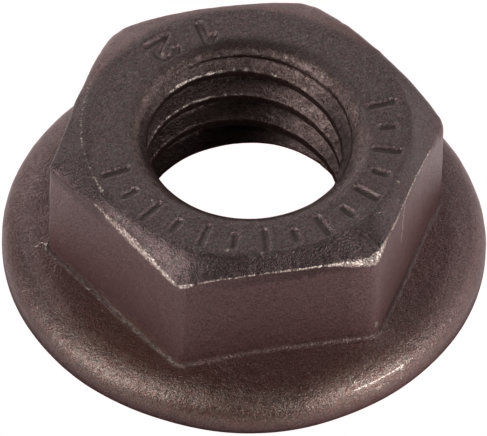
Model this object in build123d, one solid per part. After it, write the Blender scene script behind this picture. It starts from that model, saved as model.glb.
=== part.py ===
from build123d import *
import math
import os

# Hexagon flange nut, one forged and tapped piece. Millimetres.
# The axis of the thread is +Z, the bearing face lies on Z = 0, and the
# hexagon's corners lie on +X and -X, with a pair of flats square to Y.

# ---- driving dimensions -------------------------------------------------
HEIGHT = 6.25           # bearing face to the hexagon's top face
ACROSS_FLATS = 11.80    # spanner size 12, within its tolerance
CORNER_R = 0.22         # rounding of the six upright edges

TOP_FACE_R = 5.55       # radius of the flat circle left by the top chamfer
CHAMFER_DEG = 25.0      # slope of the turned chamfer over the six corners
BEVEL_DROP = 0.45       # the flats' top edges lie this far below the top face

FLANGE_R = 8.30         # flange radius at its widest
RIM_BOTTOM_R = 0.45     # rounding from the bearing face to the rim
RIM_TOP_Z = 0.80        # height at which the upright rim band ends
SHOULDER_R = 0.75       # rounding from the rim to the sloping shoulder
SHOULDER_DEG = 12.0     # slope of the shoulder towards the hexagon
ROOT_FILLET_R = 0.30    # fillet between hexagon and shoulder

THREAD_MINOR_D = 6.70   # bore on the thread's crests, M8 x 1.25 internal
TOP_SINK_D = 7.80       # countersink at the top face, 90 degrees
BASE_SINK_D = 10.2      # wide countersink at the bearing face, 90 degrees

# ---- flange: one turned section about Z ---------------------------------
r_arc = FLANGE_R - SHOULDER_R
a_up = math.radians(90.0 - SHOULDER_DEG)
p_arc_end = (r_arc + SHOULDER_R * math.cos(a_up), RIM_TOP_Z + SHOULDER_R * math.sin(a_up))
a_mid = a_up / 2
p_arc_mid = (r_arc + SHOULDER_R * math.cos(a_mid), RIM_TOP_Z + SHOULDER_R * math.sin(a_mid))
r_inner = 4.0
z_inner = p_arc_end[1] + (p_arc_end[0] - r_inner) * math.tan(math.radians(SHOULDER_DEG))

c45 = math.cos(math.radians(45))
with BuildPart() as flange:
    with BuildSketch(Plane.XZ):
        with BuildLine():
            Line((0, 0), (FLANGE_R - RIM_BOTTOM_R, 0))
            ThreePointArc(
                (FLANGE_R - RIM_BOTTOM_R, 0),
                (FLANGE_R - RIM_BOTTOM_R + RIM_BOTTOM_R * c45, RIM_BOTTOM_R - RIM_BOTTOM_R * c45),
                (FLANGE_R, RIM_BOTTOM_R),
            )
            Line((FLANGE_R, RIM_BOTTOM_R), (FLANGE_R, RIM_TOP_Z))
            ThreePointArc((FLANGE_R, RIM_TOP_Z), p_arc_mid, p_arc_end)
            Line(p_arc_end, (r_inner, z_inner))
            Line((r_inner, z_inner), (0, z_inner))
            Line((0, z_inner), (0, 0))
        make_face()
    revolve(axis=Axis.Z)

# ---- hexagon, with its upright edges slightly rounded --------------------
with BuildPart() as hexagon:
    with BuildSketch(Plane.XY.offset(0.5)):
        RegularPolygon(radius=ACROSS_FLATS / 2, side_count=6, major_radius=False)
    extrude(amount=HEIGHT - 0.5)
    fillet(hexagon.edges().filter_by(Axis.Z), radius=CORNER_R)

body = flange.part + hexagon.part

# fillet where the six flats run out on the shoulder
root_edges = [
    e for e in body.edges()
    if 1.7 < e.center().Z < 2.6 and 5.5 < math.hypot(e.center().X, e.center().Y) < 7.1
]
body = fillet(root_edges, radius=ROOT_FILLET_R)

# ---- top chamfer: a cone turned off the hexagon's corners ----------------
t = math.tan(math.radians(CHAMFER_DEG))
r_far = 12.0
with BuildPart() as chamfer_ring:
    with BuildSketch(Plane.XZ):
        with BuildLine():
            Polyline(
                (TOP_FACE_R, HEIGHT),
                (r_far, HEIGHT - (r_far - TOP_FACE_R) * t),
                (r_far, HEIGHT + 1.0),
                (TOP_FACE_R, HEIGHT + 1.0),
                close=True,
            )
        make_face()
    revolve(axis=Axis.Z)
body = body - chamfer_ring.part

# bevel along each flat, so that its top edge runs straight from corner to corner
a0 = ACROSS_FLATS / 2
steep = BEVEL_DROP / (a0 - TOP_FACE_R)
x_far = a0 + 0.4
with BuildPart() as bevel:
    with BuildSketch(Plane.XZ):
        with BuildLine():
            Polyline(
                (TOP_FACE_R, HEIGHT),
                (x_far, HEIGHT - (x_far - TOP_FACE_R) * steep),
                (x_far, HEIGHT + 1.0),
                (TOP_FACE_R, HEIGHT + 1.0),
                close=True,
            )
        make_face()
    extrude(amount=5.0, both=True)
for k in range(6):
    body = body - bevel.part.rotate(Axis.Z, 30 + 60 * k)

# ---- bore on the thread's crests, with both countersinks ------------------
r1 = THREAD_MINOR_D / 2
d_top = (TOP_SINK_D - THREAD_MINOR_D) / 2
d_base = (BASE_SINK_D - THREAD_MINOR_D) / 2
with BuildPart() as bore:
    with BuildSketch(Plane.XZ):
        with BuildLine():
            Polyline(
                (0, -1.0),
                (BASE_SINK_D / 2 + 1.0, -1.0),
                (r1, d_base),
                (r1, HEIGHT - d_top),
                (TOP_SINK_D / 2 + 1.0, HEIGHT + 1.0),
                (0, HEIGHT + 1.0),
                close=True,
            )
        make_face()
    revolve(axis=Axis.Z)
body = body - bore.part

nut = body.solids()[0] if len(body.solids()) == 1 else body
os.makedirs("parts", exist_ok=True)
export_step(nut, "parts/flange_nut.step")
print("solids", len(body.solids()), "volume mm3", round(body.volume, 3))
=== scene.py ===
import bpy
import math
import numpy as np
from mathutils import Matrix, Vector
from mathutils.geometry import delaunay_2d_cdt


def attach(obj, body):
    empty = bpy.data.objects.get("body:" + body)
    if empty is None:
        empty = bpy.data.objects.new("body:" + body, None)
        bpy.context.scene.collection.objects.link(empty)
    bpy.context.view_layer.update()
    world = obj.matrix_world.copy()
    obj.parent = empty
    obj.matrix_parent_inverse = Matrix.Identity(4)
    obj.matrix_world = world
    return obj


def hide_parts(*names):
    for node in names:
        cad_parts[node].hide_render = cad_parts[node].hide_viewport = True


# Hexagon flange nut: the shape below is worked out in millimetres, in the
# CAD part's own frame, and scaled to metres when the mesh is made.

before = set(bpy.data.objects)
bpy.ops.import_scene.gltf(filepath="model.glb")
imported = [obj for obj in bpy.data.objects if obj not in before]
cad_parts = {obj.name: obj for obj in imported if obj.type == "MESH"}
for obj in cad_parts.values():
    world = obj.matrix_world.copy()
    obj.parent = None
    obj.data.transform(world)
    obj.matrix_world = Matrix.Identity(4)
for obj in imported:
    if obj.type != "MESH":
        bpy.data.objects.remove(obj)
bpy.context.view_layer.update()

MM = 0.001
H = 6.25                # height of the top face
APOTHEM = 5.90          # centre to each flat
FLANGE_R = 8.30
RIM_Z = 0.70            # where the shoulder rounding meets the rim
SHOULDER_R = 0.95       # height of the rounding from rim to shoulder
SHOULDER_W = 1.30       # width of that rounding
BOTTOM_R = 0.45
PITCH = 1.25
CREST_R = 3.35
GROOVE_R = 4.00
SINK_R = 3.90           # mouth of the top countersink
BASE_SINK_R = 5.10      # mouth of the lower countersink
CREST_DROP = 0.80       # crest below the top face, at CREST_AT degrees
CREST_AT = 77.7


# ---- seeded smooth noise over (angle, height) ------------------------------
def lattice(seed, nx, ny):
    return np.random.RandomState(seed).uniform(-1.0, 1.0, (nx, ny))


def noise(th, v, nx, step, seed):
    """th in radians, nx cells round the part, v in mm with cells of step mm."""
    g = lattice(seed, nx, 64)
    x = (np.asarray(th) / (2 * math.pi) * nx) % nx
    y = (np.asarray(v) / step + 32.0) % 63.0
    ix = np.floor(x).astype(int)
    iy = np.floor(y).astype(int)
    fx = x - ix
    fy = y - iy
    fx = fx * fx * (3 - 2 * fx)
    fy = fy * fy * (3 - 2 * fy)
    ix0, ix1 = ix % nx, (ix + 1) % nx
    iy0, iy1 = iy % 64, (iy + 1) % 64
    a = g[ix0, iy0] * (1 - fx) + g[ix1, iy0] * fx
    b = g[ix0, iy1] * (1 - fx) + g[ix1, iy1] * fx
    return a * (1 - fy) + b * fy


def ring(table, deg):
    """Closed interpolation of [(degrees, value), ...]."""
    table = sorted(table)
    a = np.array([t[0] for t in table], float)
    v = np.array([t[1] for t in table], float)
    a = np.concatenate([a - 360, a, a + 360])
    v = np.concatenate([v, v, v])
    return np.interp(deg, a, v)


def smoothed(values, width):
    """Box-smooths a closed array twice, so that table corners don't show."""
    out = values
    k = np.ones(width) / width
    for _ in range(2):
        padded = np.concatenate([out[-width:], out, out[:width]])
        out = np.convolve(padded, k, "same")[width:-width]
    return out


# ---- columns: evenly spaced, closer together at the six corners -------------
def column_angles():
    corner_half = 1.8
    inner = np.arange(-corner_half, corner_half, 0.2)
    flat = np.linspace(corner_half, 60 - corner_half, 105)[:-1]
    cell = np.concatenate([inner, flat])
    deg = np.concatenate([cell + 60 * k for k in range(6)])
    return np.sort(deg % 360.0)


DEG = column_angles()
TH = np.radians(DEG)
N = len(DEG)

# the top edge of the six flats, as depth below the top face
DROP = ring(
    [(0, 0.90), (5, 0.62), (10, 0.40), (14, 0.28), (20, 0.18), (30, 0.12), (43, 0.12),
     (50, 0.26), (56, 0.46), (60, 0.58), (64, 0.48), (70, 0.34), (81, 0.22), (94, 0.18),
     (105, 0.27), (113, 0.42), (120, 0.60), (126, 0.40), (133, 0.18), (140, 0.13),
     (150, 0.15), (163, 0.20), (172, 0.34), (180, 0.42), (186, 0.46), (191, 0.39),
     (195, 0.32), (200, 0.24), (203, 0.30), (208, 0.38), (213, 0.44), (218, 0.50),
     (222, 0.56), (227, 0.61), (232, 0.67), (236, 0.74), (240, 0.62), (245, 0.47),
     (250, 0.44), (270, 0.45), (276, 0.48), (283, 0.46), (289, 0.52), (295, 0.60),
     (298, 0.66), (300, 0.52), (302, 0.36), (305, 0.30), (308, 0.36), (312, 0.46),
     (322, 0.45), (333, 0.47), (338, 0.57), (343, 0.62), (348, 0.74), (354, 0.86)],
    DEG,
)
DROP = smoothed(DROP, 7)

# the flat circle on top
R_TOP = ring(
    [(0, 5.62), (10, 5.62), (15, 5.60), (25, 5.48), (34, 5.42), (43, 5.44), (52, 5.54),
     (60, 5.61), (74, 5.66), (90, 5.63), (103, 5.58), (111, 5.56), (119, 5.61),
     (128, 5.66), (140, 5.60), (150, 5.58), (164, 5.62), (180, 5.64), (191, 5.60),
     (200, 5.62), (210, 5.64), (222, 5.64), (233, 5.62), (242, 5.58), (256, 5.50), (270, 5.48),
     (290, 5.46), (300, 5.47), (315, 5.52), (330, 5.52), (345, 5.58)],
    DEG,
)
R_TOP = smoothed(R_TOP, 15)

# where the flats meet the shoulder
Z_ROOT = ring(
    [(0, 1.66), (30, 1.76), (60, 1.70), (90, 1.78), (120, 1.70), (150, 1.74), (180, 1.62),
     (195, 1.58), (205, 1.53), (215, 1.46), (222, 1.46), (232, 1.52), (240, 1.60),
     (247, 1.68), (255, 1.76), (265, 1.81), (290, 1.81), (300, 1.77), (315, 1.66),
     (330, 1.60), (345, 1.62)],
    DEG,
)
Z_ROOT = smoothed(Z_ROOT, 21)
SHOULDER_DZ = smoothed(
    ring([(0, 0.0), (150, 0.0), (190, -0.04), (218, -0.12), (240, -0.05), (262, 0.0), (330, -0.03)], DEG), 21
)

# radius of the upright corners
CORNER_R = ring(
    [(0, 0.45), (30, 0.60), (60, 0.85), (90, 0.85), (120, 1.00), (150, 0.60), (180, 0.28), (240, 0.42), (270, 0.50), (300, 0.60), (330, 0.50)], DEG
)


def hexagon_radius(th, corner_r):
    phi = np.abs((np.degrees(th) + 30.0) % 60.0 - 30.0)
    phi = np.radians(phi)
    e = (APOTHEM - corner_r) / math.cos(math.radians(30))
    tangent = np.arctan2(corner_r * 0.5, e + corner_r * math.cos(math.radians(30)))
    flat = APOTHEM / np.cos(np.radians(30) - phi)
    arc = e * np.cos(phi) + np.sqrt(np.maximum(corner_r ** 2 - (e * np.sin(phi)) ** 2, 0))
    return np.where(phi < tangent, arc, flat)


RHO = hexagon_radius(TH, CORNER_R) * (
    1 + smoothed(ring([(5, 0.008), (30, 0.020), (60, 0.014), (90, 0.018), (105, 0.026), (118, 0.018), (135, 0.024),
                       (150, 0.014), (175, 0.003), (200, 0.0), (345, 0.0)], DEG), 15)
    + smoothed(ring([(344, 0.0), (352, 0.008), (358, 0.006), (4, 0.011), (16, 0.009), (28, 0.005), (40, 0.009), (52, 0.014),
                     (58, 0.011), (64, 0.014), (70, 0.012), (76, 0.008), (82, 0.0), (94, 0.0), (106, 0.009), (112, 0.019),
                     (118, 0.014), (124, 0.005), (136, 0.0), (148, 0.003), (154, 0.010), (162, 0.0)], DEG), 9)
)


# ---- section of one column, by rounded corners ------------------------------
def unit(v):
    return v / np.maximum(np.linalg.norm(v, axis=-1, keepdims=True), 1e-12)


def fillet(a, b, c, radius, n):
    u, w = unit(a - b), unit(c - b)
    half = 0.5 * np.arccos(np.clip((u * w).sum(-1), -1, 1))
    reach = radius / np.tan(half)
    limit = 0.46 * np.minimum(np.linalg.norm(a - b, axis=-1), np.linalg.norm(c - b, axis=-1))
    reach = np.minimum(reach, limit)
    radius = reach * np.tan(half)
    centre = b + unit(u + w) * (radius / np.sin(half))[:, None]
    s, e = b + u * reach[:, None] - centre, b + w * reach[:, None] - centre
    total = np.arccos(np.clip((unit(s) * unit(e)).sum(-1), -1, 1))
    rows = []
    for k in range(n + 1):
        f = k / n
        rows.append(
            centre
            + (np.sin((1 - f) * total) / np.sin(total))[:, None] * s
            + (np.sin(f * total) / np.sin(total))[:, None] * e
        )
    return rows


def between(a, b, fractions):
    return [a + (b - a) * f for f in fractions]


def col(r, z):
    return np.stack(np.broadcast_arrays(np.asarray(r, float), np.asarray(z, float)), -1) * np.ones((N, 1))


LOBE = smoothed(
    ring(
        [(0, 8.28), (15, 8.25), (30, 8.27), (60, 8.23), (90, 8.28), (120, 8.25), (141, 8.29), (153, 8.295),
         (168, 8.295), (179, 8.295), (191, 8.285), (203, 8.25), (214, 8.26), (226, 8.215), (241, 8.215),
         (257, 8.30), (266, 8.295), (273, 8.29), (283, 8.22), (300, 8.215), (312, 8.22), (324, 8.245),
         (337, 8.28), (348, 8.29)],
        DEG,
    ),
    19,
)
RIM = LOBE - FLANGE_R           # how far the outline stands inside the full circle

# rounding of the two chamfer edges
EDGE_R = ring(
    [(0, 0.60), (12, 0.45), (30, 0.30), (60, 0.80), (90, 0.35), (120, 0.95), (150, 0.25),
     (180, 0.16), (200, 0.16), (215, 0.20), (236, 0.24), (246, 0.12), (270, 0.08), (290, 0.12),
     (299, 0.26), (304, 0.16), (320, 0.10), (345, 0.20)],
    DEG,
)

a_up = math.radians(82)
r_arc = FLANGE_R - SHOULDER_W
TOP_R = smoothed(ring([(0, 0.45), (20, 0.60), (40, 1.6), (90, 1.6), (140, 1.5), (180, 1.0), (196, 1.0), (205, 1.3),
                       (235, 1.2), (248, 0.7), (262, 0.45), (345, 0.45)], DEG), 15)
P0 = col(R_TOP - smoothed(ring([(0, 0.5), (20, 0.55), (40, 0.8), (85, 0.8), (92, 0.55), (122, 0.55), (130, 0.85),
                                (185, 0.85), (192, 0.6), (240, 0.6), (255, 0.5)], DEG), 9), H)
P1 = col(R_TOP, H)
P2 = col(RHO, H - DROP)
P3 = col(RHO, Z_ROOT)
P4 = col(r_arc + SHOULDER_W * math.cos(a_up) + RIM * 0.6, RIM_Z + SHOULDER_R * math.sin(a_up) + SHOULDER_DZ)

rows = []
f1 = fillet(P0, P1, P2, TOP_R, 7)
f2 = fillet(P1, P2, P3, EDGE_R, 6)
f3 = fillet(P2, P3, P4, np.full(N, 0.19), 6)
rows += f1
rows += between(f1[-1], f2[0], [0.25, 0.5, 0.75])
rows += f2
rows += between(f2[-1], f3[0], np.linspace(0.02, 0.97, 24))
rows += f3
rows += between(f3[-1], P4, [0.08, 0.22, 0.38, 0.54, 0.70, 0.85])
for k in (0, 1, 2, 3, 4, 4.33, 4.67, 5, 5.33, 5.67, 6, 7, 8, 9):
    ang = a_up * (1 - k / 9)
    rows.append(
        col(
            r_arc + SHOULDER_W * math.cos(ang) + RIM * (0.6 + 0.4 * k / 9),
            RIM_Z + SHOULDER_R * math.sin(ang) + SHOULDER_DZ * (1 - k / 9),
        )
    )
rows.append(col(FLANGE_R + RIM, (RIM_Z + BOTTOM_R) / 2))
for k in range(6):
    ang = math.radians(90) * k / 5
    rows.append(
        col(FLANGE_R - BOTTOM_R + BOTTOM_R * math.cos(ang) + RIM, BOTTOM_R - BOTTOM_R * math.sin(ang))
    )
S = np.array(rows)              # rows x columns x (r, z)
M = len(S)

outer_r, outer_z = S[..., 0].copy(), S[..., 1].copy()
ang_grid = np.broadcast_to(TH, outer_r.shape)

# gentle unevenness of the forged surfaces
free = np.ones(M)
free[0] = 0.0
free[1:3] = 0.4
free[-1] = 0.0
free[-7:-1] = 0.35
wave = (
    0.010 * noise(ang_grid, outer_z, 46, 0.9, 11)
    + 0.006 * noise(ang_grid, outer_z, 120, 0.4, 12)
    + 0.003 * noise(ang_grid, outer_z, 300, 0.16, 13)
)
outer_r = outer_r + wave * free[:, None]
shoulder = ((outer_z < 2.1) & (outer_z > 0.8)).astype(float)
outer_z = outer_z + shoulder * (
    0.012 * noise(ang_grid, outer_r, 60, 0.8, 14) + 0.005 * noise(ang_grid, outer_r, 170, 0.3, 15)
)
outer_r = np.minimum(outer_r, FLANGE_R - 0.001)
outer_z = np.clip(outer_z, 0.0, H - 0.0005)
outer_z[0] = H - 0.004
outer_z[-1] = 0.0

# small bruises along the top edge of the flats: (angle, half width, depth)
EDGE_ROWS = slice(8, 20)
for at, half, depth in [
    (203.5, 1.1, 0.06), (208.0, 0.8, 0.05), (212.0, 1.4, 0.07), (216.5, 0.9, 0.06), (221.0, 1.5, 0.08),
    (226.0, 0.8, 0.05), (231.0, 1.2, 0.06), (238.0, 1.0, 0.06), (243.5, 0.9, 0.05), (251.0, 0.5, 0.03),
    (262.0, 0.6, 0.03), (274.0, 0.5, 0.03), (284.0, 0.8, 0.04), (290.0, 0.7, 0.05), (296.0, 1.2, 0.07),
    (301.0, 0.8, 0.05), (309.5, 0.7, 0.04), (318.0, 0.6, 0.04), (335.0, 0.8, 0.04), (356.0, 1.6, 0.06),
    (190.0, 0.8, 0.04), (131.0, 1.0, 0.02), (47.0, 0.8, 0.02),
]:
    d = (DEG - at + 180) % 360 - 180
    dent = depth * np.exp(-((d / half) ** 2))
    w = np.sin(np.linspace(0, math.pi, 12))[:, None]
    outer_r[EDGE_ROWS] -= 0.7 * w * dent
    outer_z[EDGE_ROWS] -= 0.5 * w * dent

# ---- vertices ---------------------------------------------------------------
verts = []
faces = []


def add(points):
    start = sum(len(v) for v in verts)
    verts.append(np.asarray(points, float))
    return np.arange(start, start + len(points))


def polar(r, th, z):
    return np.stack([r * np.cos(th), r * np.sin(th), np.broadcast_to(z, np.shape(r))], -1)


outer_ids = []
for k in range(M):
    outer_ids.append(add(polar(outer_r[k], TH, outer_z[k])))
for k in range(M - 1):
    a, b = outer_ids[k], outer_ids[k + 1]
    a2, b2 = np.roll(a, -1), np.roll(b, -1)
    faces += list(zip(a.tolist(), b.tolist(), b2.tolist(), a2.tolist()))

# ---- bore: rows follow the thread ------------------------------------------
NB = 240
TB = np.arange(NB) * 2 * math.pi / NB
MOUTH_R = 0.70          # rounding between the top face and the countersink
MOUTH_OUT = SINK_R + MOUTH_R * math.tan(math.radians(22.5))
mouth = []
for k in range(6):
    t = math.radians(20) * k / 5
    mouth.append(add(polar(np.full(NB, MOUTH_OUT - MOUTH_R * math.sin(t)), TB, H - 0.004 - MOUTH_R * (1 - math.cos(t)))))
rim_top = mouth[-1]
Z_MOUTH = H - 0.004 - MOUTH_R * (1 - math.cos(math.radians(20)))
for k in range(5):
    a, b = mouth[k], mouth[k + 1]
    faces += list(zip(b.tolist(), a.tolist(), np.roll(a, -1).tolist(), np.roll(b, -1).tolist()))
rim_low = add(polar(np.full(NB, BASE_SINK_R), TB, 0.0))

# one pitch of the section, from crest centre to crest centre
half_crest, flank = PITCH / 8, (GROOVE_R - CREST_R) * math.tan(math.radians(30))
u_rows = np.array(
    [0.0, 0.6 * half_crest, 0.9 * half_crest, half_crest + 0.02, half_crest + 0.05]
    + [half_crest + flank * f for f in (0.25, 0.42, 0.60, 0.78, 0.92, 1.02)]
    + [PITCH / 2]
)
u_rows = np.concatenate([u_rows, PITCH - u_rows[1:-1][::-1]])
PER = len(u_rows)
TURNS = 8
Z_START = H - CREST_DROP - PITCH * CREST_AT / 360.0 - PITCH * 6


def smooth_max(a, b, k):
    h = np.clip(0.5 + 0.5 * (a - b) / k, 0, 1)
    return b + (a - b) * h + k * h * (1 - h)


def thread_radius(u):
    u = np.abs((u + PITCH / 2) % PITCH - PITCH / 2)
    depth = (u - half_crest) / math.tan(math.radians(30))
    r = CREST_R + depth
    r = smooth_max(r, np.full_like(r, CREST_R), 0.035)
    return -smooth_max(-r, np.full_like(r, -GROOVE_R), 0.05)


def bore_radius(z, th):
    u = z - (H - CREST_DROP) - PITCH * (np.degrees(th) - CREST_AT) / 360.0
    r = thread_radius(u)
    r = r + 0.006 * noise(th, z, 90, 0.35, 21) + 0.004 * noise(th, z, 40, 0.9, 22) + 0.012 * noise(th, z, 118, 0.22, 23)
    drop = np.clip(H - 0.004 - z, 0.0, MOUTH_R)
    rolled = MOUTH_OUT - np.sqrt(np.maximum(MOUTH_R ** 2 - (MOUTH_R - drop) ** 2, 0))
    top = np.where(drop < MOUTH_R * (1 - math.cos(math.radians(45))), rolled, SINK_R - (H - z))
    low = BASE_SINK_R - z + np.clip(z / 0.8, 0, 1) * ring(
        [(0, 0.30), (25, 0.34), (60, 0.22), (85, 0.06), (100, 0.0), (125, 0.02), (150, 0.10), (190, 0.10), (230, 0.0), (330, 0.0)],
        np.degrees(th))
    r = smooth_max(r, top, 0.03)
    r = smooth_max(r, low, 0.05)
    deg = np.degrees(th)
    r = r - 0.07 * ring([(0, 1.0), (30, 1.0), (60, 0.4), (90, 0.0), (270, 0.0), (320, 0.6), (340, 1.0)], deg) * np.clip((5.7 - z) / 0.3, 0, 1) * np.clip((z - 1.9) / 0.4, 0, 1)
    first = ring([(0, 3.46), (35, 3.52), (60, 3.64), (80, 3.70), (105, 3.70), (125, 3.62), (190, 3.60), (230, 3.56), (330, 3.46)], deg)
    span = ring([(0, 0.95), (45, 0.90), (65, 0.75), (85, 0.60), (105, 0.60), (125, 0.85), (190, 0.95), (330, 0.95)], deg)
    most = first + (4.04 - first) * np.clip((H - 0.25 - z) / span, 0, 1)
    least = 3.38 + 0.75 * np.clip((z - 1.65) / 0.75, 0, 1)
    return np.where(z > 4.0, np.minimum(r, smooth_max(top, most, 0.09)), np.minimum(r, np.maximum(low, least)))


grid = np.zeros((NB, PER * TURNS), int)
for i in range(NB):
    z = Z_START + np.repeat(np.arange(TURNS) * PITCH, PER) + np.tile(u_rows, TURNS) + PITCH * i / NB
    r = bore_radius(z, np.full(len(z), TB[i]))
    inside = (z > 0.03) & (z < Z_MOUTH - 0.03)
    idx = np.where(z >= Z_MOUTH - 0.03, rim_top[i], rim_low[i])
    spot = polar(r[inside], np.full(inside.sum(), TB[i]), z[inside])
    lean = np.clip((H - 0.25 - z[inside]) / 0.5, 0, 1) * np.clip(z[inside] / 1.5, 0, 1)
    spot[:, 0] -= 0.050 * lean
    spot[:, 1] += 0.011 * lean
    ids = add(spot)
    idx[inside] = ids
    grid[i] = idx
bore_faces = []
for i in range(NB):
    if i + 1 < NB:
        a, b = grid[i], grid[i + 1]
    else:
        a = grid[i]
        b = np.concatenate([grid[0][PER:], np.full(PER, rim_top[0])])
    for j in range(PER * TURNS - 1):
        q = [a[j], b[j], b[j + 1], a[j + 1]]
        u = []
        for v in q:
            if v not in u:
                u.append(int(v))
        if len(u) >= 3:
            bore_faces.append(tuple(u))

# ---- underside: flat ring from the rim to the lower countersink -------------
def zipper(a, ta, b, tb):
    """Triangles between two closed rings, given ids and angles of each."""
    out = []
    i = j = 0
    na, nb = len(a), len(b)
    while i < na or j < nb:
        next_a = ta[(i + 1) % na] + (2 * math.pi if i + 1 >= na else 0)
        next_b = tb[(j + 1) % nb] + (2 * math.pi if j + 1 >= nb else 0)
        if j >= nb or (i < na and next_a <= next_b):
            out.append((a[i % na], a[(i + 1) % na], b[j % nb]))
            i += 1
        else:
            out.append((a[i % na], b[(j + 1) % nb], b[j % nb]))
            j += 1
    return [tuple(int(v) for v in t) for t in out]


face_mid = add(polar(np.full(N, 7.0), TH, 0.0))
a, b = outer_ids[-1], face_mid
faces += list(zip(a.tolist(), b.tolist(), np.roll(b, -1).tolist(), np.roll(a, -1).tolist()))
under = zipper(face_mid, TH, rim_low, TB)

# ---- top face, with its sunk marks ------------------------------------------
def arc_points(cx, cy, r, a0, a1, n):
    t = np.radians(np.linspace(a0, a1, n))
    return [(cx + r * math.cos(x), cy + r * math.sin(x)) for x in t]


def place(points, at, radius, turn=0.0):
    """Local (x right, y outward) strokes set at an angle and radius on the face."""
    a = math.radians(at)
    out = (math.cos(a), math.sin(a))
    right = (math.sin(a), -math.cos(a))
    c, s = math.cos(math.radians(turn)), math.sin(math.radians(turn))
    res = []
    for x, y in points:
        x, y = x * c - y * s, x * s + y * c
        res.append((out[0] * (radius + y) + right[0] * x, out[1] * (radius + y) + right[1] * x))
    return res


strokes = []            # (points, half width, depth)
# plain graduation round the right-hand and front part of the face
for k in range(15):
    at = 360.0 - 12.5 * k + 6.0
    long = k % 2 == 0
    y = 0.40 if long else 0.20
    strokes.append((place([(0, -y), (0, y)], at, 4.80), 0.14, 0.09))
# plain class number at the back left
strokes.append((place([(0.02, -0.46), (0.0, 0.50), (-0.30, 0.20)], 97.3, 4.76, 180.0), 0.13, 0.125))
two = arc_points(0, 0.18, 0.34, 165, -40, 10) + [(-0.38, -0.42), (0.42, -0.38)]
strokes.append((place(two, 115.6, 4.78, 180.0), 0.13, 0.125))


def seg_distance(p, q0, q1):
    d = q1 - q0
    t = np.clip(((p - q0) @ d) / max(d @ d, 1e-12), 0, 1)
    return np.linalg.norm(p - (q0 + t[:, None] * d), axis=1)


def mark_depth(p):
    """Depth of the marks at points p (n x 2), and the distance to the nearest one."""
    depth = np.zeros(len(p))
    near = np.full(len(p), 9.0)
    for pts, half, deep in strokes:
        q = np.array(pts)
        d = np.full(len(p), 9.0)
        for k in range(len(q) - 1):
            d = np.minimum(d, seg_distance(p, q[k], q[k + 1]))
        t = np.clip((half + 0.07 - d) / 0.17, 0, 1)
        depth = np.maximum(depth, deep * t * t * (3 - 2 * t))
        near = np.minimum(near, d)
    return depth, near


r0 = outer_r[0]


def lattice_points(step):
    n = int(6.2 / step)
    ys = np.arange(-n, n + 1) * step * math.sqrt(3) / 2
    xs = np.arange(-n, n + 1) * step
    gx, gy = np.meshgrid(xs, ys)
    gx = gx + (np.arange(len(ys)) % 2)[:, None] * step / 2
    p = np.stack([gx.ravel(), gy.ravel()], 1)
    r = np.hypot(p[:, 0], p[:, 1])
    th = np.arctan2(p[:, 1], p[:, 0]) % (2 * math.pi)
    edge = np.interp(th, np.concatenate([TH, [TH[0] + 2 * math.pi]]), np.concatenate([r0, [r0[0]]]))
    return p[(r > MOUTH_OUT + 0.05) & (r < edge - 0.05)]


coarse = lattice_points(0.115)
fine = lattice_points(0.042)
_, dc = mark_depth(coarse)
_, df = mark_depth(fine)
pts = np.concatenate([coarse[dc > 0.24], fine[df <= 0.22]])
ring_out = np.stack([r0 * np.cos(TH), r0 * np.sin(TH)], 1)
ring_in = np.stack([MOUTH_OUT * np.cos(TB), MOUTH_OUT * np.sin(TB)], 1)
allp = np.concatenate([ring_out, ring_in, pts])
edges = [(k, (k + 1) % N) for k in range(N)] + [(N + k, N + (k + 1) % NB) for k in range(NB)]
res = delaunay_2d_cdt([Vector(p) for p in allp], edges, [], 0, 1e-7)
cdt_v, cdt_f, orig = res[0], res[2], res[3]
cp = np.array([[v.x, v.y] for v in cdt_v])
depth, near = mark_depth(cp)
cr = np.hypot(cp[:, 0], cp[:, 1])
cth = np.arctan2(cp[:, 1], cp[:, 0]) % (2 * math.pi)
edge = np.interp(cth, np.concatenate([TH, [TH[0] + 2 * math.pi]]), np.concatenate([r0, [r0[0]]]))
inset = np.clip(np.minimum(cr - MOUTH_OUT, edge - cr) / 0.25, 0, 1)
cz = H - 0.004 - depth + inset * (
    0.003 * noise(cth, cr, 40, 0.5, 31) + 0.0015 * noise(cth, cr, 110, 0.2, 32) - 0.002
)
cz = np.minimum(cz, H - 0.0002)
ids = np.full(len(cp), -1)
for v in range(len(cp)):
    src = [s for s in orig[v] if s < N + NB]
    if src:
        ids[v] = outer_ids[0][src[0]] if src[0] < N else mouth[0][src[0] - N]
own = ids < 0
ids[own] = add(np.stack([cp[own, 0], cp[own, 1], cz[own]], 1))
top_faces = []
for f in cdt_f:
    c = cp[list(f)].mean(0)
    t = math.atan2(c[1], c[0]) % (2 * math.pi)
    k = (np.searchsorted(TH, t, "right") - 1) % N
    p, q = ring_out[k], ring_out[(k + 1) % N]
    if (q[0] - p[0]) * (c[1] - p[1]) - (q[1] - p[1]) * (c[0] - p[0]) <= 0:
        continue
    k = int(t / (2 * math.pi) * NB) % NB
    p, q = ring_in[k], ring_in[(k + 1) % NB]
    if (q[0] - p[0]) * (c[1] - p[1]) - (q[1] - p[1]) * (c[0] - p[0]) >= 0:
        continue
    a, b, c3 = cp[f[0]], cp[f[1]], cp[f[2]]
    area = (b[0] - a[0]) * (c3[1] - a[1]) - (b[1] - a[1]) * (c3[0] - a[0])
    t = [int(ids[k]) for k in f]
    top_faces.append(tuple(t if area > 0 else t[::-1]))

V = np.concatenate(verts)
all_faces = [tuple(int(x) for x in f) for f in faces] + bore_faces + under + top_faces

me = bpy.data.meshes.new("flange_nut_body")
me.from_pydata((V * MM).tolist(), [], all_faces)
me.validate()
nut = bpy.data.objects.new("flange_nut_body", me)
bpy.context.scene.collection.objects.link(nut)

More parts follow.
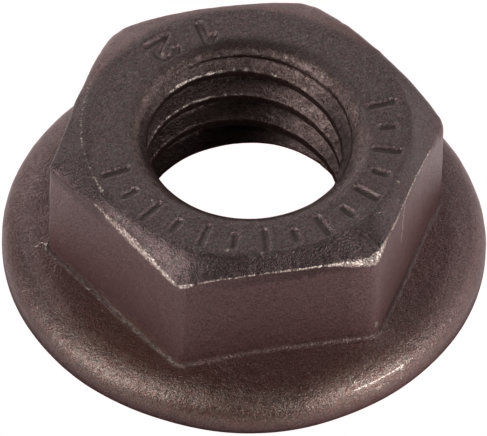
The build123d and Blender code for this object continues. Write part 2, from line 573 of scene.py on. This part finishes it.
import bmesh
bm = bmesh.new()
bm.from_mesh(me)
bmesh.ops.remove_doubles(bm, verts=bm.verts, dist=2e-9)
bmesh.ops.recalc_face_normals(bm, faces=bm.faces)
open_edges = sum(1 for e in bm.edges if len(e.link_faces) != 2)
for e in bm.edges:
    if len(e.link_faces) != 2:
        print("OPEN", len(e.link_faces), [tuple(round(c * 1000, 3) for c in v.co) for v in e.verts])
loose = sum(1 for v in bm.verts if not v.link_faces)
vol = bm.calc_volume(signed=True)
bm.to_mesh(me)
bm.free()
tris = sum(len(p.vertices) - 2 for p in me.polygons)
print("MESH verts", len(me.vertices), "tris", tris, "open edges", open_edges, "loose", loose, "volume mm3", vol * 1e9)
me.polygons.foreach_set("use_smooth", np.ones(len(me.polygons), bool))
me.update()

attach(nut, "root")
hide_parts("flange_nut")

# ---- masks kept on the mesh ---------------------------------------------------
co = np.zeros(len(me.vertices) * 3, np.float32)
me.vertices.foreach_get("co", co)
co = co.reshape(-1, 3).astype(float) / MM
vr = np.hypot(co[:, 0], co[:, 1])
vth = np.arctan2(co[:, 1], co[:, 0]) % (2 * math.pi)
vdeg = np.degrees(vth)
vz = co[:, 2]

edge_z = np.interp(vdeg, np.append(DEG, 360.0 + DEG[0]), np.append(H - DROP, H - DROP[0]))
edge_rad = np.interp(vdeg, np.append(DEG, 360.0 + DEG[0]), np.append(RHO, RHO[0]))
edge_gap = np.hypot(vr - edge_rad, vz - edge_z)

# how wide and how strong the bared metal is along that edge
bare_w = ring(
    [(0, 0.10), (30, 0.05), (60, 0.08), (120, 0.08), (176, 0.05), (186, 0.05), (198, 0.12), (204, 0.20),
     (212, 0.27), (220, 0.28), (228, 0.18), (236, 0.12), (241, 0.13), (246, 0.08), (252, 0.05), (282, 0.07),
     (288, 0.13), (292, 0.21), (296, 0.27), (300, 0.33), (304, 0.19), (309, 0.09), (320, 0.07), (335, 0.09), (350, 0.08)],
    vdeg,
)
bare_s = ring(
    [(0, 0.45), (30, 0.25), (60, 0.30), (120, 0.30), (176, 0.35), (186, 0.25), (198, 0.45), (204, 0.68),
     (212, 0.88), (225, 1.0), (236, 1.0), (242, 0.95), (248, 0.55), (262, 0.5), (282, 0.65),
     (290, 0.95), (300, 1.0), (305, 0.8), (312, 0.7), (322, 0.55), (340, 0.6), (352, 0.5)],
    vdeg,
)
thin = np.clip(1.3 - edge_gap / 0.07, 0, 1)
wear = bare_s * np.maximum(0.70 * np.clip(1.35 - edge_gap / np.maximum(bare_w, 1e-3), 0, 1), thin)
wear[(vz < 4.0) | (vr < 5.0)] = 0
# second scratch on the flat right of the front corner
def on_line(a0, z0, a1, z1, half):
    t = (vz - z0) / (z1 - z0)
    inside = (t > 0) & (t < 1) & (vr > 5.2) & (vr < 6.9)
    gap = np.abs(vdeg - (a0 + (a1 - a0) * t)) * 0.105
    return np.where(inside, np.clip(1.4 - gap / half, 0, 1), 0)


wear = np.maximum(wear, 0.72 * on_line(320.1, 4.05, 323.1, 5.78, 0.07))
# bruise where the left corner runs out on the flange; painted highlight: a bright streak on the front right shoulder,
# laid in as bared metal
bruise = np.hypot((vdeg - 179.0) * 0.122, vr - 6.99)
wear = np.maximum(wear, np.clip(1.5 - np.abs(bruise - 0.15) / 0.08, 0, 1) * ((vz < 2.2) & (vz > 0.8)) * (0.50 + 0.34 * noise(vth, vr, 420, 0.16, 55)))
# broken line along the left of the top face's circle
line_r = np.interp(vdeg, [145, 160, 172, 191, 199], [5.76, 5.68, 5.62, 5.56, 5.58])
wear = np.maximum(wear, np.clip(1.3 - np.abs(vr - line_r) / 0.10, 0, 1) * (vz > 5.8) * ring([(138, 0.0), (146, 0.45), (155, 0.48), (165, 0.43), (183, 0.47), (190, 0.51), (197, 0.58), (202, 0.0)], vdeg))
shoulder_glint_r = np.interp(vdeg, [283.0, 287.2, 290.7, 300.5, 305.5], [8.05, 8.01, 8.03, 8.025, 8.00])
shoulder_glint = np.clip(1.25 - np.abs(vr - shoulder_glint_r) / 0.045, 0, 1) * ((vdeg > 280) & (vdeg < 308) & (vz > 0.9))
shoulder_glint = shoulder_glint * ring([(282, 0.0), (284, 0.52), (286, 0.56), (287.5, 0.72), (290, 0.66), (298, 0.70), (300.4, 0.82), (301.5, 0.46), (303, 0.56), (305, 0.52), (306.5, 0.0)], vdeg)
wear = np.maximum(wear, shoulder_glint)
for a0, q0, a1, q1 in [(300.4, 8.04, 299.3, 8.20), (300.4, 8.03, 300.0, 7.90), (285.5, 7.90, 288.5, 7.86), (292.0, 8.17, 295.5, 8.14)]:
    p0, p1 = np.array([a0 * 0.14, q0]), np.array([a1 * 0.14, q1])
    w = np.stack([vdeg * 0.14, vr], 1) - p0
    t = np.clip(w @ (p1 - p0) / ((p1 - p0) @ (p1 - p0)), 0, 1)
    gap = np.linalg.norm(w - t[:, None] * (p1 - p0), axis=1)
    wear = np.maximum(wear, 0.60 * np.clip(1.25 - gap / 0.06, 0, 1) * ((vz > 0.8) & (vz < 1.6)))
# painted highlight: bright patch at the foot of the front right corner
corner_glint = np.hypot((vdeg - 300.3) * 0.117, (vz - 2.22) / 1.4)
wear = np.maximum(wear, 0.64 * np.clip(1.4 - corner_glint / 0.15, 0, 1) * ((vz < 2.9) & (vz > 1.85) & (vr > 6.0)))
# painted highlight: bright line along the upper corner of the thread's crests, strongest on the back-left wall
lead = (vz - (H - CREST_DROP) - PITCH * (vdeg - CREST_AT) / 360.0 + PITCH / 2) % PITCH - PITCH / 2
crest_glint = np.clip(1.2 - np.abs(lead - half_crest) / np.where(vz > 4.8, 0.10, 0.07), 0, 1) * ((vr < CREST_R + 0.10) & (vz > 2.4) & (vz < 5.85))
crest_glint_s = ring([(0, 0.34), (40, 0.40), (70, 0.46), (90, 0.60), (110, 0.70), (135, 0.66), (155, 0.52), (180, 0.36), (270, 0.2)], vdeg)
crest_glint_s = crest_glint_s * np.clip(0.35 + (vz - 2.4) / 3.4, 0, 1) * (0.82 + 0.42 * noise(vth, vz, 150, 0.25, 41))
wear = np.maximum(wear, crest_glint * crest_glint_s)
# painted highlight: bright line where the roll-over breaks into the first groove, at the back only
mouth_glint = np.clip(1.1 - np.abs(np.hypot(vr - 3.86, vz - 6.11)) / 0.07, 0, 1) * ring([(60, 0.0), (85, 0.2), (95, 0.56), (122, 0.60), (130, 0.0), (300, 0.0)], vdeg)
wear = np.maximum(wear, mouth_glint)
# wear and painted highlights together: bared edges and scratches, plus the painted glints on the crests, the mouth, the
# shoulder and the front corner
attr = me.attributes.new("wear", "FLOAT", "POINT")
attr.data.foreach_set("value", wear.astype(np.float32))

# shade under the crests on the right-hand side
below = np.clip(1.3 - np.abs(lead + half_crest + 0.09) / 0.11, 0, 1) * ((vr < 3.75) & (vz > 2.4) & (vz < 5.6))
below_s = ring([(315, 0.0), (330, 0.6), (345, 0.8), (25, 0.8), (45, 0.5), (65, 0.0)], vdeg)
# painted shade in the bore: darker towards the bottom, on the crest flats and on the left-hand wall
in_bore = (vr < SINK_R - 0.02) & (vz < H - 0.20) & (vz > 0.0)
crest = np.clip((CREST_R + 0.12 - vr) / 0.10, 0, 1)
deep = np.clip((5.1 - vz) / 2.2, 0, 1)
side = ring([(0, 0.0), (40, 0.06), (75, 0.45), (100, 0.60), (130, 0.70), (180, 0.72), (225, 0.7), (262, 0.5), (300, 0.3), (340, 0.1)], vdeg)
crest_s = ring([(0, 0.25), (40, 0.40), (75, 0.85), (130, 0.9), (225, 0.85), (300, 0.5)], vdeg)
dark = 1 - (1 - crest_s * crest) * (1 - 0.85 * deep * np.clip(0.45 + side, 0, 1)) * (1 - side * np.clip((5.95 - vz) / 0.35, 0, 1))
dark = np.where(in_bore, np.maximum(dark, below * below_s), 0.0)
# darker inside the sunk marks on the top face
_, near = mark_depth(co[:, :2])
on_top = (vz > H - 0.12) & (vr > SINK_R)
dark = np.where(on_top, 0.55 * np.clip((0.17 - near) / 0.10, 0, 1), dark)
# painted shade on the roll-over into the bore, at the back
roll = np.clip(1.5 - np.abs(vr - 4.06) / 0.26, 0, 1) * (vz > H - 0.3)
dark = np.maximum(dark, roll * ring([(15, 0.0), (40, 0.26), (60, 0.68), (90, 0.84), (102, 0.62), (115, 0.22), (135, 0.0), (300, 0.0)], vdeg))
# painted shade along the edge of the bore, mostly on the left
bore_edge_shade = np.clip(1.7 - np.abs(vr - ring([(0, 3.36), (30, 3.36), (90, 3.50), (260, 3.50), (320, 3.36)], vdeg)) / 0.15, 0, 1) * (vz > 5.3)
dark = np.maximum(dark, bore_edge_shade * ring([(100, 0.0), (130, 0.30), (148, 0.62), (158, 0.80), (188, 0.80), (206, 0.35), (235, 0.1), (260, 0.0), (325, 0.0), (345, 0.4), (0, 0.4), (20, 0.1), (40, 0.0)], vdeg))
dark = dark * (1 - 0.85 * np.clip(crest_glint * crest_glint_s * 1.5, 0, 1))
# painted shade in the crease where the flats meet the shoulder
root_z = np.interp(vdeg, np.append(DEG, 360.0 + DEG[0]), np.append(Z_ROOT, Z_ROOT[0]))
root = np.clip(1.35 - np.hypot(vr - edge_rad - 0.045, vz - root_z - 0.045) / 0.085, 0, 1)
root_s = ring([(0, 0.60), (150, 0.6), (180, 1.0), (206, 1.0), (225, 0.86), (240, 0.52), (248, 0.28), (294, 0.26), (302, 0.60), (310, 0.92), (340, 0.92)], vdeg)
dark = np.maximum(dark, 0.85 * root_s * np.clip(1.3 * root, 0, 1))
scar = np.clip(1.2 - np.hypot((vdeg + 0.0 - 1.8) / 1.6, (vr - 7.24) / 0.09), 0, 1) * ((vz < 2.0) & (vz > 0.8))
dark = np.maximum(dark, 0.7 * scar)
# painted light and shade: each zone's brightness is set by its angle round the part, lighter where the lamps catch it
# and darker away from them; it scales the base colour and the reflection
tone = np.ones(len(vz))
side_tone = ring([(0, 1.0), (60, 1.0), (175, 1.0), (190, 0.92), (235, 0.92), (246, 0.76), (291, 0.78), (297, 0.96), (300, 1.10), (305, 1.04), (322, 1.10), (342, 1.06), (355, 0.86)], vdeg)
tone = np.where((vz > 1.85) & (vr > 5.6), side_tone, tone)
cham_tone = ring([(0, 0.85), (60, 0.9), (100, 0.85), (112, 0.74), (125, 0.84), (140, 0.8), (165, 0.66), (185, 0.67), (200, 0.64),
                  (210, 1.0), (215, 0.86), (221, 0.90), (229, 1.10), (240, 0.92), (250, 0.62), (272, 0.50), (283, 0.43), (291, 0.60),
                  (299, 0.98), (306, 1.02), (318, 0.90), (330, 0.85)], vdeg)
blend = np.clip((vr - 5.35) / 0.25, 0, 1) * (vz > H - 0.9)
tone = np.where((vz > H - 0.9) & (vr > 5.35), 1 + (cham_tone - 1) * blend, tone)
# painted highlight bands on the shoulder, at the left and the front right
band = np.clip(1 - np.abs(vr - 7.75) / 0.55, 0, 1)
band_tone = ring([(0, 0.90), (30, 0.96), (150, 0.96), (165, 0.93), (185, 0.66), (203, 0.70), (215, 1.06), (229, 1.12), (243, 0.90), (258, 0.67), (272, 0.70),
                  (281, 1.35), (295, 1.6), (306, 1.05), (325, 1.0), (345, 0.90)], vdeg)
inner_tone = ring([(0, 1.0), (180, 1.15), (225, 1.25), (245, 1.0), (256, 0.86), (272, 0.84), (300, 1.0), (318, 1.15), (330, 1.45), (350, 1.40)], vdeg)
bore_high = ring([(0, 0.95), (18, 1.0), (34, 1.45), (50, 1.50), (62, 0.85), (80, 0.66), (95, 0.65), (118, 0.84), (150, 1.3), (200, 1.3), (300, 0.9), (330, 1.2)], vdeg)
bore_low = ring([(0, 1.2), (16, 1.25), (30, 1.9), (42, 2.3), (54, 2.4), (68, 1.2), (88, 0.9), (100, 0.9), (116, 1.4), (150, 1.9), (200, 1.7), (300, 0.9), (330, 1.4)], vdeg)
high = np.clip((vz - 4.2) / 0.5, 0, 1)
tone = np.where((vr < SINK_R) & (vz < H - 0.1), bore_low + (bore_high - bore_low) * high, tone)
sink_tone = ring([(0, 0.55), (15, 0.66), (28, 1.05), (36, 1.35), (50, 1.35), (65, 0.98), (80, 0.72), (95, 0.70), (112, 0.70), (128, 0.76), (138, 0.95), (150, 1.40), (200, 1.2), (300, 0.9), (325, 0.75), (340, 0.55)], vdeg)
right_side = ring([(318, 0), (334, 1), (10, 1), (25, 0)], vdeg)
tone = np.where((vr > 3.7) & (vr < 4.25) & (vz > 5.9), ring([(300, 1.0), (325, 1.15), (338, 1.20), (348, 1.15), (358, 1.0), (5, 0.90), (32, 0.88), (45, 1.0)], vdeg), tone)
sink_tone = sink_tone + (1.25 - sink_tone) * np.clip((vr - 3.45) / 0.25, 0, 1) * right_side
tone = np.where((vr < SINK_R + 0.05) & (vz > 5.45 - 0.2 * ring([(318, 0), (334, 1), (10, 1), (30, 0)], vdeg)) & (vz < H - 0.1), sink_tone, tone)
tone = np.where((vz < 1.85) & (vr > 5.6), inner_tone * (1 - band) + band_tone * band, tone)
mauve = ring([(0, 1.0), (150, 1.0), (185, 0.85), (198, 0.5), (212, 0.12), (290, 0.08), (306, 0.4), (320, 0.8), (335, 1.0)], vdeg)
attr = me.attributes.new("mauve", "FLOAT", "POINT")
attr.data.foreach_set("value", mauve.astype(np.float32))
rim_tone = ring([(0, 0.84), (150, 0.76), (185, 0.71), (205, 0.69), (222, 0.74), (240, 0.70), (266, 0.78), (283, 1.26), (300, 1.40), (315, 1.0), (340, 0.86)], vdeg)
low_part = np.clip((vr - 8.05) / 0.2, 0, 1) * (vz < 1.2)
tone = tone * (1 - low_part) + rim_tone * low_part
attr = me.attributes.new("tone", "FLOAT", "POINT")
attr.data.foreach_set("value", tone.astype(np.float32))
attr = me.attributes.new("dark", "FLOAT", "POINT")
attr.data.foreach_set("value", dark.astype(np.float32))


# ---- materials -----------------------------------------------------------------
def new_material(name):
    m = bpy.data.materials.new(name)
    m.use_nodes = True
    nt = m.node_tree
    for n in list(nt.nodes):
        nt.nodes.remove(n)
    return m, nt


def node(nt, kind, **values):
    n = nt.nodes.new(kind)
    for k, v in values.items():
        if k.startswith("_"):
            setattr(n, k[1:], v)
        else:
            n.inputs[k.replace("__", " ")].default_value = v
    return n


def link(nt, a, b):
    nt.links.new(a, b)


mat, nt = new_material("oxidised_steel")
out = node(nt, "ShaderNodeOutputMaterial")
bsdf = node(nt, "ShaderNodeBsdfPrincipled")
link(nt, bsdf.outputs["BSDF"], out.inputs["Surface"])
tc = node(nt, "ShaderNodeTexCoord")
scale = node(nt, "ShaderNodeVectorMath", _operation="SCALE")
scale.inputs["Scale"].default_value = 1000.0
link(nt, tc.outputs["Object"], scale.inputs[0])
MMV = scale.outputs["Vector"]       # position in millimetres
sep = node(nt, "ShaderNodeSeparateXYZ")
link(nt, MMV, sep.inputs[0])


def tex_noise(size, detail=3.0, rough=0.6, distortion=0.0, vector=None):
    n = node(nt, "ShaderNodeTexNoise")
    n.inputs["Scale"].default_value = 1.0 / size
    n.inputs["Detail"].default_value = detail
    n.inputs["Roughness"].default_value = rough
    n.inputs["Distortion"].default_value = distortion
    link(nt, vector or MMV, n.inputs["Vector"])
    return n.outputs["Fac"]


def ramp(value, lo, hi, a=0.0, b=1.0, smooth=True):
    n = node(nt, "ShaderNodeMapRange")
    n.interpolation_type = "SMOOTHSTEP" if smooth else "LINEAR"
    link(nt, value, n.inputs["Value"])
    n.inputs["From Min"].default_value = lo
    n.inputs["From Max"].default_value = hi
    n.inputs["To Min"].default_value = a
    n.inputs["To Max"].default_value = b
    return n.outputs["Result"]


def math2(op, a, b=None, clamp=False):
    n = node(nt, "ShaderNodeMath", _operation=op)
    n.use_clamp = clamp
    for k, v in enumerate((a, b)):
        if v is None:
            continue
        if isinstance(v, (int, float)):
            n.inputs[k].default_value = v
        else:
            link(nt, v, n.inputs[k])
    return n.outputs[0]


def mix(fac, a, b):
    n = node(nt, "ShaderNodeMix")
    n.data_type = "RGBA"
    if isinstance(fac, (int, float)):
        n.inputs["Factor"].default_value = fac
    else:
        link(nt, fac, n.inputs["Factor"])
    for name, v in (("A", a), ("B", b)):
        s = [i for i in n.inputs if i.name == name and i.type == "RGBA"][0]
        if isinstance(v, tuple):
            s.default_value = (*v, 1.0)
        else:
            link(nt, v, s)
    return [o for o in n.outputs if o.type == "RGBA"][0]


geo = node(nt, "ShaderNodeNewGeometry")
nsep = node(nt, "ShaderNodeSeparateXYZ")
link(nt, geo.outputs["True Normal"], nsep.inputs[0])
rad = node(nt, "ShaderNodeVectorMath", _operation="LENGTH")
flatv = node(nt, "ShaderNodeCombineXYZ")
link(nt, sep.outputs["X"], flatv.inputs["X"])
link(nt, sep.outputs["Y"], flatv.inputs["Y"])
link(nt, flatv.outputs[0], rad.inputs[0])
RADIUS = rad.outputs["Value"]
Z = sep.outputs["Z"]

fine_n = tex_noise(0.055, 3.0, 0.65)
mid_n = tex_noise(0.35, 4.0, 0.6)
wrinkle = tex_noise(0.16, 2.0, 0.6, 1.2)
big_n = tex_noise(1.6, 3.0, 0.55)

is_top = math2("MULTIPLY", ramp(Z, 5.2, 5.9), ramp(nsep.outputs["Z"], 0.2, 0.6))
is_low = ramp(Z, 2.1, 1.5)
is_front = ramp(sep.outputs["Y"], 0.5, -2.5)
is_cham = math2("MULTIPLY", math2("MULTIPLY", ramp(RADIUS, 5.45, 5.62), ramp(Z, 5.0, 5.5)), is_front)
is_rear = math2("MULTIPLY", ramp(RADIUS, 5.50, 5.75), ramp(sep.outputs["Y"], 2.0, 4.0))
is_bore = math2("MULTIPLY", ramp(RADIUS, 4.08, 3.98), ramp(Z, 6.24, 6.18))
side_col = mix(mid_n, (0.054, 0.0252, 0.0240), (0.077, 0.0375, 0.0358))
top_col = mix(mid_n, (0.004, 0.003, 0.003), (0.009, 0.006, 0.006))
low_col = mix(mid_n, (0.0165, 0.0028, 0.0014), (0.0250, 0.0048, 0.0026))
base = mix(math2("MULTIPLY", is_top, math2("SUBTRACT", 1.0, is_rear)), side_col, top_col)
base = mix(is_bore, base, (0.013, 0.005, 0.004))
base = mix(is_low, base, low_col)
# oxide film: strength and tint of its reflection by zone
wrinkle_m = ramp(tex_noise(0.22, 3.0, 0.65, 0.8), 0.38, 0.62)
is_rim = ramp(Z, 0.95, 0.45)
film = math2("ADD", 0.24, math2("MULTIPLY", is_top, 0.55))
film = math2("SUBTRACT", film, math2("MULTIPLY", math2("MULTIPLY", is_top, is_cham), 0.22))
film = math2("ADD", film, math2("MULTIPLY", is_low, 0.49))
film = math2("ADD", math2("MULTIPLY", film, math2("SUBTRACT", 1.0, is_bore)), math2("MULTIPLY", is_bore, 0.56))
tint = mix(is_top, (1.0, 0.80, 0.82), mix(wrinkle_m, (1.0, 0.64, 0.66), (1.0, 0.785, 0.735)))
tint = mix(is_bore, tint, (1.0, 0.74, 0.70))
mauve_a = node(nt, "ShaderNodeAttribute")
mauve_a.attribute_name = "mauve"
MAUVE = mauve_a.outputs["Fac"]
low_tint = mix(MAUVE, mix(wrinkle_m, (1.0, 0.68, 0.59), (1.0, 0.83, 0.72)), mix(wrinkle_m, (1.0, 0.69, 0.70), (1.0, 0.73, 0.715)))
tint = mix(is_low, tint, low_tint)
base = mix(is_rim, base, (0.054, 0.026, 0.026))
tone_a = node(nt, "ShaderNodeAttribute")
tone_a.attribute_name = "tone"
PAINTED_LIGHT_TONE = tone_a.outputs["Fac"]
# the painted light and shade also scales the reflection strength
film = math2("MULTIPLY", math2("MULTIPLY", film, PAINTED_LIGHT_TONE), math2("SUBTRACT", 1.0, math2("MULTIPLY", is_rim, 0.55)))
film = math2("MULTIPLY", film, ramp(wrinkle, 0.30, 0.70, 0.80, 1.20, smooth=False))
patch = ramp(tex_noise(0.20, 5.0, 0.78, 0.6), 0.36, 0.64, 0.45, 1.75, smooth=False)
film = math2("MULTIPLY", film, math2("ADD", 1.0, math2("MULTIPLY", is_bore, math2("SUBTRACT", patch, 1.0))))
grain = ramp(fine_n, 0.3, 0.70, 0.45, 1.60, smooth=False)
# base colour scaled by the fine grain and by the painted light and shade
gcol = node(nt, "ShaderNodeVectorMath", _operation="SCALE")
link(nt, base, gcol.inputs[0])
link(nt, math2("MULTIPLY", grain, PAINTED_LIGHT_TONE), gcol.inputs["Scale"])
base = gcol.outputs["Vector"]

wear_a = node(nt, "ShaderNodeAttribute")
wear_a.attribute_name = "wear"
wear_n = math2("ADD", wear_a.outputs["Fac"], math2("MULTIPLY", math2("SUBTRACT", tex_noise(0.10, 5.0, 0.75, 0.4), 0.5), 1.3))
WEAR_AND_GLINT = math2("MULTIPLY", ramp(wear_n, 0.42, 0.62), ramp(wear_a.outputs["Fac"], 0.02, 0.2))
for az, r, z, size in [
    (251.5, 5.29, 6.25, 0.055), (264.1, 5.38, 6.25, 0.040), (212.6, 4.44, 6.25, 0.035), (97.5, 5.26, 6.25, 0.050),
    (49.7, 5.68, 6.10, 0.055), (35.1, 5.63, 6.10, 0.060), (358.7, 5.66, 5.95, 0.060), (326.6, 5.50, 6.20, 0.050),
    (197.3, 5.57, 6.20, 0.060), (94.4, 3.90, 6.10, 0.060), (58.5, 3.81, 6.10, 0.060), (76.1, 3.55, 5.90, 0.050),
]:
    gap = node(nt, "ShaderNodeVectorMath", _operation="DISTANCE")
    link(nt, MMV, gap.inputs[0])
    gap.inputs[1].default_value = (r * math.cos(math.radians(az)), r * math.sin(math.radians(az)), z)
    WEAR_AND_GLINT = math2("MAXIMUM", WEAR_AND_GLINT, ramp(gap.outputs["Value"], size * 1.5, size * 0.6, 0.0, 0.8))
# bared metal colour, also used for the painted highlights
bare_and_glint = mix(ramp(tex_noise(0.07, 4.0, 0.7), 0.35, 0.65), (0.15, 0.115, 0.10), (0.66, 0.56, 0.50))
base = mix(WEAR_AND_GLINT, base, bare_and_glint)
dark_a = node(nt, "ShaderNodeAttribute")
dark_a.attribute_name = "dark"
SHADE_AND_SCAR = dark_a.outputs["Fac"]
# painted shade and the scar: the base is pulled towards near black, and the reflection is dimmed there too
base = mix(math2("MULTIPLY", SHADE_AND_SCAR, 0.96), base, (0.0120, 0.0058, 0.0053))
link(nt, base, bsdf.inputs["Base Color"])
metal = math2("MULTIPLY", WEAR_AND_GLINT, 0.9)
link(nt, metal, bsdf.inputs["Metallic"])
rough = math2("ADD", ramp(mid_n, 0.3, 0.7, 0.36, 0.42, smooth=False), math2("MULTIPLY", WEAR_AND_GLINT, -0.08))
gloss = math2("MULTIPLY", math2("MULTIPLY", film, grain), ramp(SHADE_AND_SCAR, 0.0, 1.0, 1.0, 0.10, smooth=False))
link(nt, gloss, bsdf.inputs["Specular IOR Level"])
bsdf.inputs["IOR"].default_value = 1.8
link(nt, tint, bsdf.inputs["Specular Tint"])
link(nt, rough, bsdf.inputs["Roughness"])
height = math2("ADD", math2("ADD", math2("MULTIPLY", fine_n, 1.0), math2("MULTIPLY", mid_n, 1.6)), math2("MULTIPLY", wrinkle, 1.4))
bump = node(nt, "ShaderNodeBump")
bump.inputs["Strength"].default_value = 0.8
bump.inputs["Distance"].default_value = 0.000022
link(nt, math2("MULTIPLY", height, math2("ADD", 1.0, math2("MULTIPLY", is_bore, 0.5))), bump.inputs["Height"])
link(nt, bump.outputs["Normal"], bsdf.inputs["Normal"])
me.materials.append(mat)

# ---- floor, light and camera -------------------------------------------------------
fmat, fnt = new_material("pale_floor")
fo = node(fnt, "ShaderNodeOutputMaterial")
fe = node(fnt, "ShaderNodeEmission")
fe.inputs["Color"].default_value = (1.0, 0.90, 0.905, 1.0)
fe.inputs["Strength"].default_value = 1.115
fnt.links.new(fe.outputs[0], fo.inputs["Surface"])
fme = bpy.data.meshes.new("floor")
fs = 0.30
fa = [2 * math.pi * k / 64 for k in range(64)]
fme.from_pydata(
    [(0.0086 * math.cos(t), 0.0086 * math.sin(t), 0) for t in fa] + [(fs * math.cos(t), fs * math.sin(t), 0) for t in fa],
    [], [(k, (k + 1) % 64, 64 + (k + 1) % 64, 64 + k) for k in range(64)],
)
floor = bpy.data.objects.new("floor", fme)
floor.location = (0, 0, -0.00002)
bpy.context.scene.collection.objects.link(floor)
fme.materials.append(fmat)
# the floor close round the nut: as bright, but the rim doesn't mirror it
nme = bpy.data.meshes.new("floor_near")
nme.from_pydata(
    [(0.0072 * math.cos(t), 0.0072 * math.sin(t), 0) for t in fa] + [(0.0086 * math.cos(t), 0.0086 * math.sin(t), 0) for t in fa],
    [], [(k, (k + 1) % 64, 64 + (k + 1) % 64, 64 + k) for k in range(64)],
)
near_floor = bpy.data.objects.new("floor_near", nme)
near_floor.location = (0, 0, -0.00002)
bpy.context.scene.collection.objects.link(near_floor)
nme.materials.append(fmat)
near_floor.visible_glossy = False
# the part of the floor under the nut: seen through the bore, but it sheds no light up the thread
cme = bpy.data.meshes.new("floor_centre")
cme.from_pydata([(0.0072 * math.cos(t), 0.0072 * math.sin(t), 0) for t in fa], [], [tuple(range(64))])
centre = bpy.data.objects.new("floor_centre", cme)
centre.location = (0, 0, -0.00002)
bpy.context.scene.collection.objects.link(centre)
cme.materials.append(fmat)
centre.visible_glossy = False

scene = bpy.context.scene
world = bpy.data.worlds.new("studio")
scene.world = world
world.use_nodes = True
wbg = [n for n in world.node_tree.nodes if n.type == "BACKGROUND"][0]
wbg.inputs["Color"].default_value = (1.0, 1.0, 1.0, 1.0)
wbg.inputs["Strength"].default_value = 0.0


def softbox(name, azimuth, elevation, distance, sx, sy, power, color=(1, 1, 1)):
    a, e = math.radians(azimuth), math.radians(elevation)
    pos = Vector((math.cos(a) * math.cos(e), math.sin(a) * math.cos(e), math.sin(e))) * distance
    ld = bpy.data.lights.new(name, "AREA")
    ld.shape = "RECTANGLE"
    ld.size, ld.size_y = sx, sy
    ld.energy = power
    ld.color = color
    ob = bpy.data.objects.new(name, ld)
    ob.location = pos
    ob.rotation_mode = "QUATERNION"
    ob.rotation_quaternion = (-pos).to_track_quat("-Z", "Y")
    scene.collection.objects.link(ob)
    return ob


for k, (az, el, power) in enumerate([
    (195, 48, 0.50), (195, 25, 0.50), (315, 25, 0.97), (105, 25, 0.24), (15, 25, 0.19),
    (75, 25, 0.06), (45, 25, 0.06), (45, 48, 0.055), (165, 48, 0.075), (135, 72, 0.03),
]):
    softbox("light_%d" % k, az, el, 0.35, 0.17, 0.17, power)

AZ, EL, ROLL, DIST = math.radians(-12.42), math.radians(49.29), math.radians(1.67), 0.3807
back = Vector((math.sin(AZ) * math.cos(EL), -math.cos(AZ) * math.cos(EL), math.sin(EL)))
target = Vector((-0.00004, 0.00001, 0.00181))
fwd = -back
right = fwd.cross(Vector((0, 0, 1))).normalized()
up = right.cross(fwd)
r2 = right * math.cos(ROLL) + up * math.sin(ROLL)
u2 = -right * math.sin(ROLL) + up * math.cos(ROLL)
cd = bpy.data.cameras.new("camera")
cd.sensor_width = 36.0
cd.sensor_fit = "HORIZONTAL"
cd.lens = 823.6
cd.clip_start = 0.01
cd.clip_end = 10.0
cam = bpy.data.objects.new("camera", cd)
scene.collection.objects.link(cam)
m = Matrix((
    (r2.x, u2.x, back.x, 0), (r2.y, u2.y, back.y, 0), (r2.z, u2.z, back.z, 0), (0, 0, 0, 1),
))
m.translation = target + back * DIST
cam.matrix_world = m
scene.camera = cam
scene.view_settings.view_transform = "Standard"
scene.view_settings.look = "None"
